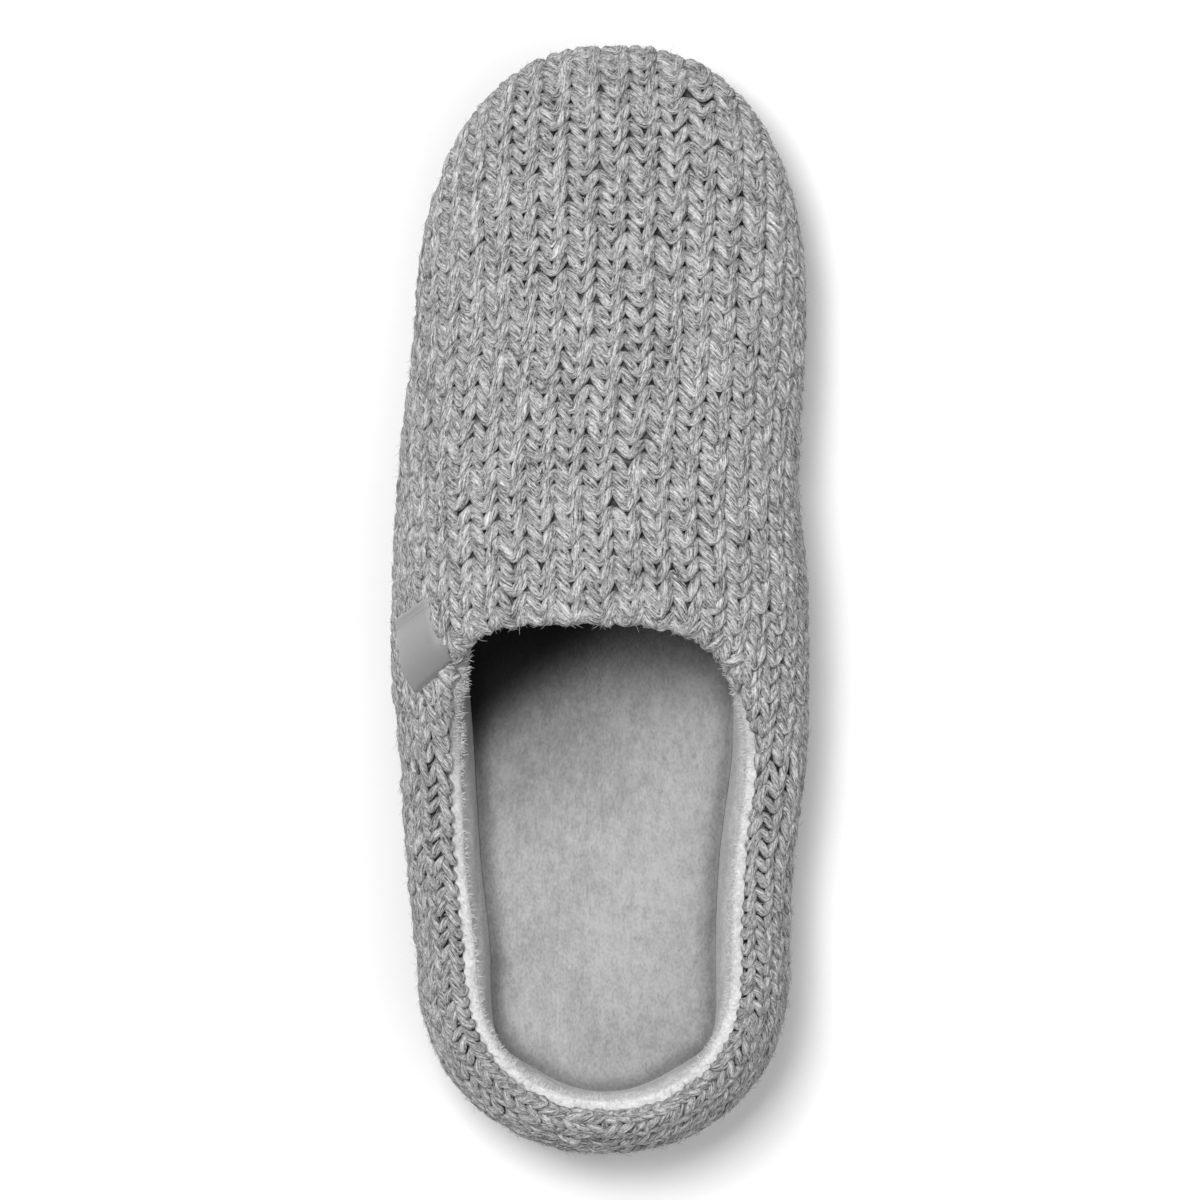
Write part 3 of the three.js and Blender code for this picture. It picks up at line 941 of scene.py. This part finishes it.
def yarn_rows(rows, places, side):
    """The line, the thickness and the outward direction of the yarn in each course."""
    step = places[1] - places[0]
    grid = np.stack([resampled(row["points"], row["way"], places) for row in rows])
    no_row = np.full_like(grid[:1], np.nan)
    ahead = np.concatenate([grid[1:], no_row])
    behind = np.concatenate([no_row, grid[:-1]])
    forward = filled_difference(ahead, behind, grid)
    curve = filled(ahead - 2 * grid + behind, 0)
    across = np.gradient(grid, step, axis=1)
    one_step = np.diff(grid, axis=1) / step
    missing = np.full_like(grid[:, :1], np.nan)
    for neighbours in ([one_step, missing], [missing, one_step]):
        across = filled(across, np.concatenate(neighbours, axis=1))
    normal = side * np.cross(across, forward)
    normal /= np.maximum(np.linalg.norm(normal, axis=2, keepdims=True), 1e-9)
    runs = []
    for k, row in enumerate(rows):
        phase = 2 * pi * (places + wander(k, places)) / column_pitch
        wave = -(np.cos(phase) + 0.06 * np.cos(3 * phase)) / 1.06
        swing = row["swing"] * (1 + knotted(places, "swing")) * wave + knotted(places, "slip")
        depth = point_depth + row["dip"] * np.clip(wave, 0, 1) ** 1.5 + knotted(places, "depth")
        valid = ~np.isnan(grid[k, :, 0])
        first, last = places[valid][0], places[valid][-1]

        # Beside the opening a course is flatter at the collar, and slants forward on its way down from it
        below = np.clip((places - first) / collar_reach, 0, 1)
        swing *= 1 - row["slant"] * (1 - collar_swing) * (1 - below)
        swing += row["slant"] * collar_slant / quarter_pitch * below ** 2 * (3 - 2 * below)
        if row["kind"] in ("heel", "side"):
            depth += seam_dive * np.clip(1 - (places - first) / seam_dive_length, 0, 1) ** 2
        if row["kind"] in ("cut", "rim"):
            depth += sunk_depth * np.clip(1 - (places - first) / sunk_length, 0, 1) ** 2
        if row["kind"] == "rim":
            depth += sunk_depth * np.clip(1 - (last - places) / sunk_length, 0, 1) ** 2
        line = grid[k] + forward[k] * swing[:, None] + 0.5 * curve[k] * swing[:, None] ** 2
        line += across[k] * knotted(places, "along")[:, None]
        line -= normal[k] * depth[:, None]
        thick = row["thin"] * (1 - 0.07 * np.cos(2 * phase)) * (1 + knotted(places, "thick"))
        keep = valid & ~np.isnan(line[:, 0])
        runs.append({"line": line[keep], "thick": thick[keep], "normal": normal[k][keep], "whole": keep[0]})
    return runs


def tubes(name, lines, radii, sides):
    """Round tubes along lines, as one mesh whose vertices go ring by ring."""
    curve = bpy.data.curves.new(name, "CURVE")
    curve.dimensions = "3D"
    curve.bevel_depth = MM
    curve.bevel_resolution = sides // 2 - 2
    for line, radius in zip(lines, radii):
        spline = curve.splines.new("POLY")
        spline.points.add(len(line) - 1)
        spline.points.foreach_set("co", np.column_stack([line * MM, np.ones(len(line))]).ravel())
        spline.points.foreach_set("radius", radius)
    held = placed(name, curve)
    mesh = bpy.data.meshes.new_from_object(held.evaluated_get(bpy.context.evaluated_depsgraph_get()))
    bpy.data.objects.remove(held)
    mesh.shade_smooth()
    return mesh


def yarn_mesh(name, runs):
    """Yarn as round tubes, with its twist and its length kept at every point."""
    radii = []
    strands = []
    for run in runs:
        line = run["line"]
        from_end = np.minimum(np.arange(len(line)), np.arange(len(line))[::-1])
        radii.append(yarn_radius * run["thick"] * np.clip(yarn_end_share + from_end / 2, 0, 1))
        along = (way_along(line) + rng.uniform(0, longest_lead))[:, None]
        turned = 2 * pi * (np.arange(yarn_sides) / yarn_sides)[None, :] + ply_twist * along
        strand = [np.cos(turned), np.sin(turned), np.broadcast_to(along, turned.shape)]
        strands.append(np.stack(strand, axis=2).reshape(-1, 3))
    mesh = tubes(name, [run["line"] for run in runs], radii, yarn_sides)
    strand = np.concatenate(strands)
    mesh.attributes.new("strand", "FLOAT_VECTOR", "POINT").data.foreach_set("vector", strand.ravel())
    return mesh


# Light and dark fibres are drawn out along the strand, under a thin fuzz
heather_yarn, tree, shader = new_material(
    "heather_yarn", Roughness=0.95, Sheen_Weight=0.2, Sheen_Roughness=0.5, Specular_IOR_Level=0.15
)
strand = tree.nodes.new("ShaderNodeAttribute")
strand.attribute_name = "strand"
along = vector_math(tree, "MULTIPLY", strand.outputs["Vector"], (1.0, 1.0, 0.11)).outputs[0]
fibres = node_in(tree, noise, Vector=along, Scale=3.7, Detail=3.5, Roughness=0.72, Distortion=0.6)
tufts = node_in(tree, noise, Vector=along, Scale=1.1, Detail=2.0)
place = tree.nodes.new("ShaderNodeTexCoord").outputs["Object"]
fuzz = node_in(tree, noise, Vector=place, Scale=1500.0, Detail=3.0)
height = blended(tree, fibres.outputs["Fac"], fuzz.outputs["Fac"], share=0.22)
mottle = blended(tree, height, tufts.outputs["Fac"], share=0.2)
colour = colour_between(tree, mottle, low=0.41, high=0.60, dark=grey(0.055), light=grey(0.90))
covered(tree, shader, colour, height, distance=1.1 * MM)

sample_step = column_pitch / samples_in_column
side_places = np.arange(0, farthest, sample_step)


def side_runs(side):
    """The yarn of one side's courses: those behind the vamp and those in it."""
    rows = courses_of(side)
    runs = yarn_rows(rows, side_places, side)
    start = next(k for k, row in enumerate(rows) if row["kind"] == "vamp")
    return runs[:start], runs[start:]


def joined(outer_run, inner_run):
    """One course right across the vamp, from its two halves."""
    keys = ("line", "thick", "normal")
    return {key: np.concatenate([outer_run[key][::-1], inner_run[key][1:]]) for key in keys}


def strand_run(line, thickness, outwards):
    """One strand of even thickness along a line."""
    return {"line": line, "thick": np.full(len(line), thickness), "normal": outwards}


outer_quarter, outer_vamp = side_runs(-1)
inner_quarter, inner_vamp = side_runs(1)
vamp_runs = []
for outer_run, inner_run in zip(outer_vamp, inner_vamp):
    if outer_run["whole"] and inner_run["whole"]:
        vamp_runs.append(joined(outer_run, inner_run))
    else:
        vamp_runs += [outer_run, inner_run]
half = len(vamp_runs) // 2

# One strand joins the two sides down the middle of the heel
seam_points = [rim_point(0.75, angle, -seam_strand_depth) for angle in np.linspace(seam_angle(0.75), 0, 10)]
for level in np.linspace(0.98, -1, 50):
    seam_points.append(outer_skin(0.75, level) - outward(0.75, level) * seam_strand_depth)
seam_way = way_along(seam_points)
seam_line = resampled(seam_points, seam_way, np.arange(0, seam_way[-1], sample_step))
seam_outward = np.tile([0.0, -1.0, 0.0], (len(seam_line), 1))
outer_quarter.insert(0, strand_run(seam_line, quarter_thinness, seam_outward))

# One strand lies round the foot of the upper on the outsole
foot_turns = np.linspace(0, 1, 1000)
foot_outward = np.array([plan_outward(turn) for turn in foot_turns])
foot_line = np.array([outer_skin(turn, foot_strand_level) for turn in foot_turns])
foot_wave = foot_strand_wave * np.sin(2 * pi * foot_strand_waves * foot_turns)
foot_line -= foot_outward * (foot_strand_depth + foot_wave)[:, None]

# One short course closes the toe over that strand
toe_turns = np.linspace(0.15, 0.35, 900)
toe_aside = [abs(widest_point(turn).x - centre_line(toe_end)) for turn in toe_turns]
toe_turns = toe_turns[np.array(toe_aside) < toe_course_reach]
toe_outward = np.array([plan_outward(turn) for turn in toe_turns])
toe_line = np.array([outer_skin(turn, toe_course_level) for turn in toe_turns])
toe_line -= toe_outward * toe_course_depth
toe_line[:, 2] -= toe_course_swing * np.cos(2 * pi * way_along(toe_line) / column_pitch)
inner_quarter.insert(0, strand_run(foot_line, 1.0, foot_outward))
inner_quarter.insert(1, strand_run(toe_line, toe_course_thinness, toe_outward))
KNIT_PIECES = {
    "knit_instep": vamp_runs[:half],
    "knit_toe": vamp_runs[half:],
    "knit_outer_quarter": outer_quarter,
    "knit_inner_quarter": inner_quarter,
}
for name, runs in KNIT_PIECES.items():
    shown(name, yarn_mesh(name, runs), heather_yarn)


# Edge of the throat
# The last courses of the vamp are rolled over its edge and under. They follow it round both corners of the
# throat, and their ends sink under the collar.
rolled_angles = [radians(angle) for angle in (204, 144, 84, 24, -36)]
rolled_outer_y = throat_y - wrap_stop - 2
rolled_inner_y = throat_y - wrap_stop - 3
rolled_steps = 400
rolled = {"kind": "rim", "swing": 0.62, "slant": 0, "dip": top_dip, "thin": 0.97}

rolled_turns = np.linspace(turn_at(-1, rolled_outer_y), turn_at(1, rolled_inner_y), rolled_steps)
middle_step = np.argmin([abs(mouth_point(turn)[0] - centre_line(throat_y)) for turn in rolled_turns])
rolled_way = way_along([rim_point(turn, 0, 0) for turn in rolled_turns])
rolled_way -= rolled_way[middle_step]
rolled_rows = []
for angle in rolled_angles:
    points = [rim_point(turn, angle, 0) for turn in rolled_turns]
    rolled_rows.append({**rolled, "points": points, "way": rolled_way})
rolled_places = np.arange(-farthest, farthest, sample_step)
rolled_runs = yarn_rows(rolled_rows, rolled_places, 1)[1:-1]
shown("knit_throat_edge", yarn_mesh("knit_throat_edge", rolled_runs), heather_yarn)


# Woven tab
# A folded length of plain grey satin ribbon, caught in the collar seam at the outer corner of the throat.
# It lies on the knit towards the toe, with its fold at the far end and its inner side under the stitches.
ribbon_thickness = 0.6
ribbon_proud = 0.55
ribbon_root_rise = 0.75
ribbon_fold = 0.05
ribbon_fold_rise = 0.8
ribbon_hem_at = 0.86
ribbon_hem_width = 0.013
ribbon_hem_rise = 0.45
ribbon_root_dip = 1.6
ribbon_side_dip = 2.6
ribbon_bow = 2.2
ribbon_painted_root_shadow = 0.45
ribbon_across_steps = 24
ribbon_along_steps = 70
ribbon_ripple = 0.12
ribbon_root_rises = (0.6, 0.2)
ribbon_root_dips = (0.05, 0)
ribbon_side_across = (0.7, 0.95)
ribbon_side_along = (0.12, 0.4)
ribbon_painted_shadow_share = 0.7
high_above = 200

# Corners in plan, as they lie on the collar and the wall
root_front = Vector((-37.4, -15.4, 0))
root_back = Vector((-45.9, -23.6, 0))
fold_back = Vector((-51.2, -4.6, 0))
fold_front = Vector((-41.6, 2.2, 0))

face_tree = ray_target(ground_steps_up * 2, lambda turn, up: over_knit(turn, up, 0))


def ribbon_point(across, along):
    """across runs from the outer side to the side under the stitches, along from the seam to the fold."""
    plan = root_back.lerp(root_front, across).lerp(fold_back.lerp(fold_front, across), along)
    plan.x -= ribbon_bow * sin(pi * along) * (1 - across)
    hit, normal = face_tree.ray_cast(Vector((plan.x, plan.y, high_above)), Vector((0, 0, -1)))[:2]
    if normal.z < 0:
        normal = -normal
    proud = ribbon_proud + ribbon_ripple * sin(2 * pi * (across * 0.9 + along * 1.3))
    proud += ribbon_root_rise * smooth_step(*ribbon_root_rises, along)
    proud -= ribbon_root_dip * smooth_step(*ribbon_root_dips, along)
    under = smooth_step(*ribbon_side_across, across) * smooth_step(*ribbon_side_along, along)
    proud -= ribbon_side_dip * under
    proud += ribbon_hem_rise * np.exp(-(((along - ribbon_hem_at) / ribbon_hem_width) ** 2))
    proud += ribbon_fold_rise * sin(pi * smooth_step(1 - 2 * ribbon_fold, 1, along))
    return hit + normal * proud


bm = grid_of(ribbon_across_steps, ribbon_along_steps, calc_uvs=True)
ribbon_uv = bm.loops.layers.uv.verify()
ribbon_width = (root_front - root_back).length
ribbon_length = (fold_back - root_back).length
for face in bm.faces:
    for loop in face.loops:
        corner = loop.vert.co
        loop[ribbon_uv].uv = ((corner.x + 0.5) * ribbon_width, (corner.y + 0.5) * ribbon_length)
for vert in bm.verts:
    vert.co = ribbon_point(vert.co.x + 0.5, vert.co.y + 0.5) * MM
bmesh.ops.recalc_face_normals(bm, faces=bm.faces)
if sum(face.normal.z for face in bm.faces) < 0:
    bmesh.ops.reverse_faces(bm, faces=bm.faces)
bmesh.ops.solidify(bm, geom=bm.faces, thickness=ribbon_thickness * MM)
satin, tree, shader = new_material("satin_ribbon", Roughness=0.42, Specular_IOR_Level=0.35, Sheen_Weight=0.15)
cloth_uv = tree.nodes.new("ShaderNodeUVMap").outputs["UV"]
threads = node_in(tree, "ShaderNodeTexWave", Vector=cloth_uv, Scale=0.9, Distortion=0.6, Detail=1.0)
threads.bands_direction = "Y"
grain = grain_in(tree, scale=2600)
weave = blended(tree, threads.outputs["Fac"], grain.outputs["Height"], share=0.6)
colour = colour_between(tree, weave, low=0.3, high=0.75, dark=grey(0.31), light=grey(0.40))
# Painted shadow: the satin darkens towards its root, where it dips under the collar
along = node_in(tree, "ShaderNodeSeparateXYZ", Vector=cloth_uv).outputs["Y"]
painted_shadow_end = ribbon_length * ribbon_painted_shadow_share
painted_root_shadow_mask = node_in(tree, "ShaderNodeMapRange", Value=along, From_Min=painted_shadow_end, From_Max=0)
colour = darkened(tree, colour, painted_root_shadow_mask.outputs[0], ribbon_painted_root_shadow)
covered(tree, shader, colour, weave, distance=0.08 * MM)
ribbon = shown("ribbon_tab", finished(bm, "ribbon_tab", radians(50)), satin)
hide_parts("woven_tab")


# Loose fibres
# Fine hairs that stand out of the yarn all over the knit, and the pile that spills over the knit along the
# top edge of the lining. Each is a thin tapered tube of a few faces.
hair_sides = 4
hair_radius = 0.06
hair_shortest = 0.8
hair_longest = 2.3
hair_lean = 1.2
hair_lifts = (0.1, 0.55)
hair_scatter = 0.25
hair_curl = 0.28
hair_droop = 0.22
hair_root_share = 0.85
hair_taper = np.array([1.0, 0.85, 0.3])
hair_shares = np.linspace(0, 1, len(hair_taper))
HAIRS = {
    "knit_instep_fuzz": (vamp_runs[:half] + rolled_runs, 8500),
    "knit_toe_fuzz": (vamp_runs[half:], 6000),
    "knit_quarter_fuzz": (outer_quarter + inner_quarter, 6500),
}
pile_hairs = 8000
pile_length = 1.4
pile_radius = 0.085
pile_starts = (0.01, lining_roll_share * 1.5)
pile_rises = (0.5, 1.0)
pile_leans = (-0.3, 0.9)
pile_spreads = (0.5, 1.2)
pile_scatter = 0.3
least_padding = 0.02


def unit(vectors):
    return vectors / np.maximum(np.linalg.norm(vectors, axis=-1, keepdims=True), 1e-9)


def hair_lines(starts, ways, bends):
    """Each hair leaves its start along its way and curls by its bend."""
    shares = hair_shares[None, :, None]
    return starts[:, None, :] + ways[:, None, :] * shares + bends[:, None, :] * shares ** 2


def fuzz_of(runs, count):
    lines = np.concatenate([run["line"][2:-2] for run in runs])
    normals = np.concatenate([run["normal"][2:-2] for run in runs])
    tangents = unit(np.concatenate([run["line"][3:-1] - run["line"][1:-3] for run in runs]))
    chosen = rng.integers(0, len(lines), count)
    lines, normals, tangents = lines[chosen], normals[chosen], tangents[chosen]
    sideways = unit(np.cross(tangents, normals))
    lean = rng.uniform(-hair_lean, hair_lean, (count, 1))
    out = normals * np.cos(lean) + sideways * np.sin(lean)
    length = rng.uniform(hair_shortest, hair_longest, (count, 1))
    onward = rng.choice([-1, 1], (count, 1))
    ways = tangents * onward + out * rng.uniform(*hair_lifts, (count, 1))
    ways = unit(ways + rng.normal(0, hair_scatter, (count, 3))) * length
    bends = (rng.normal(0, hair_curl, (count, 3)) - out * hair_droop) * length
    return hair_lines(lines + out * yarn_radius * hair_root_share, ways, bends)


def hair_piece(name, lines, radius, material):
    radii = [hair_taper * radius] * len(lines)
    shown(name, tubes(name, lines, radii, hair_sides), material)


loose_fibre = new_material("loose_fibre", Roughness=0.8, Base_Color=grey(0.46), Sheen_Weight=0.2)[0]
for name, (runs, count) in HAIRS.items():
    hair_piece(name, fuzz_of(runs, count), hair_radius, loose_fibre)

turns = rng.uniform(0, 1, pile_hairs)
turns = turns[[padding(turn) > least_padding for turn in turns]]
starts = []
ways = []
for turn in turns:
    start = lining_point(turn, rng.uniform(*pile_starts))
    out = (start - rim_point(turn, 0, -rim_wall / 2)).normalized()
    onward = (rim_point(turn + tiny, 0, 0) - rim_point(turn, 0, 0)).normalized()
    starts.append(start)
    ways.append(out * rng.uniform(*pile_rises) + out.cross(onward) * rng.uniform(*pile_leans))
starts = np.array(starts)
ways = unit(np.array(ways) + rng.normal(0, pile_scatter, starts.shape))
ways *= rng.uniform(*pile_spreads, (len(starts), 1)) * pile_length
pile_lines = hair_lines(starts, ways, rng.normal(0, pile_scatter, starts.shape))
plush_pile = new_material("plush_pile", Roughness=0.9, Base_Color=grey(0.72), Sheen_Weight=0.3)[0]
hair_piece("plush_edge_pile", pile_lines, pile_radius, plush_pile)


# Floor, light and camera
# A plain pale floor, a soft light from the upper left, a wide weak one from the lower right, and a camera
# straight above the slipper.
floor_size = 3
camera_height = 1.55
frame_width = 308.4 * MM
focus_height = 0.035
sensor_width = 36
world_strength = 0.22

floor_mesh = finished(grid_of(1, 1, floor_size), "floor")
floor_mesh.materials.append(new_material("floor_paint", Roughness=0.9, Base_Color=grey(0.92))[0])
floor = placed("floor", floor_mesh)

camera_data = bpy.data.cameras.new("camera")
camera_data.sensor_width = sensor_width
camera_data.lens = sensor_width * (camera_height - focus_height) / frame_width
camera = placed("camera", camera_data)
camera.location = (0, 0, camera_height)
scene.camera = camera

# Each light has its place, its width and its power
LIGHTS = {
    "key": {"at": (-0.28, 0.30, 1.50), "width": 0.5, "power": 20},
    "fill": {"at": (0.55, -0.3, 1.5), "width": 1.2, "power": 8},
}
for name, light in LIGHTS.items():
    data = bpy.data.lights.new(name, "AREA")
    data.size = light["width"]
    data.energy = light["power"]
    lamp = placed(name, data)
    lamp.location = light["at"]
    lamp.rotation_euler = (-Vector(light["at"])).to_track_quat("-Z", "Y").to_euler()
world = bpy.data.worlds.new("studio")
world.use_nodes = True
set_inputs(world.node_tree.nodes["Background"], {"Color": grey(1), "Strength": world_strength})
scene.world = world
scene.view_settings.view_transform = "Standard"
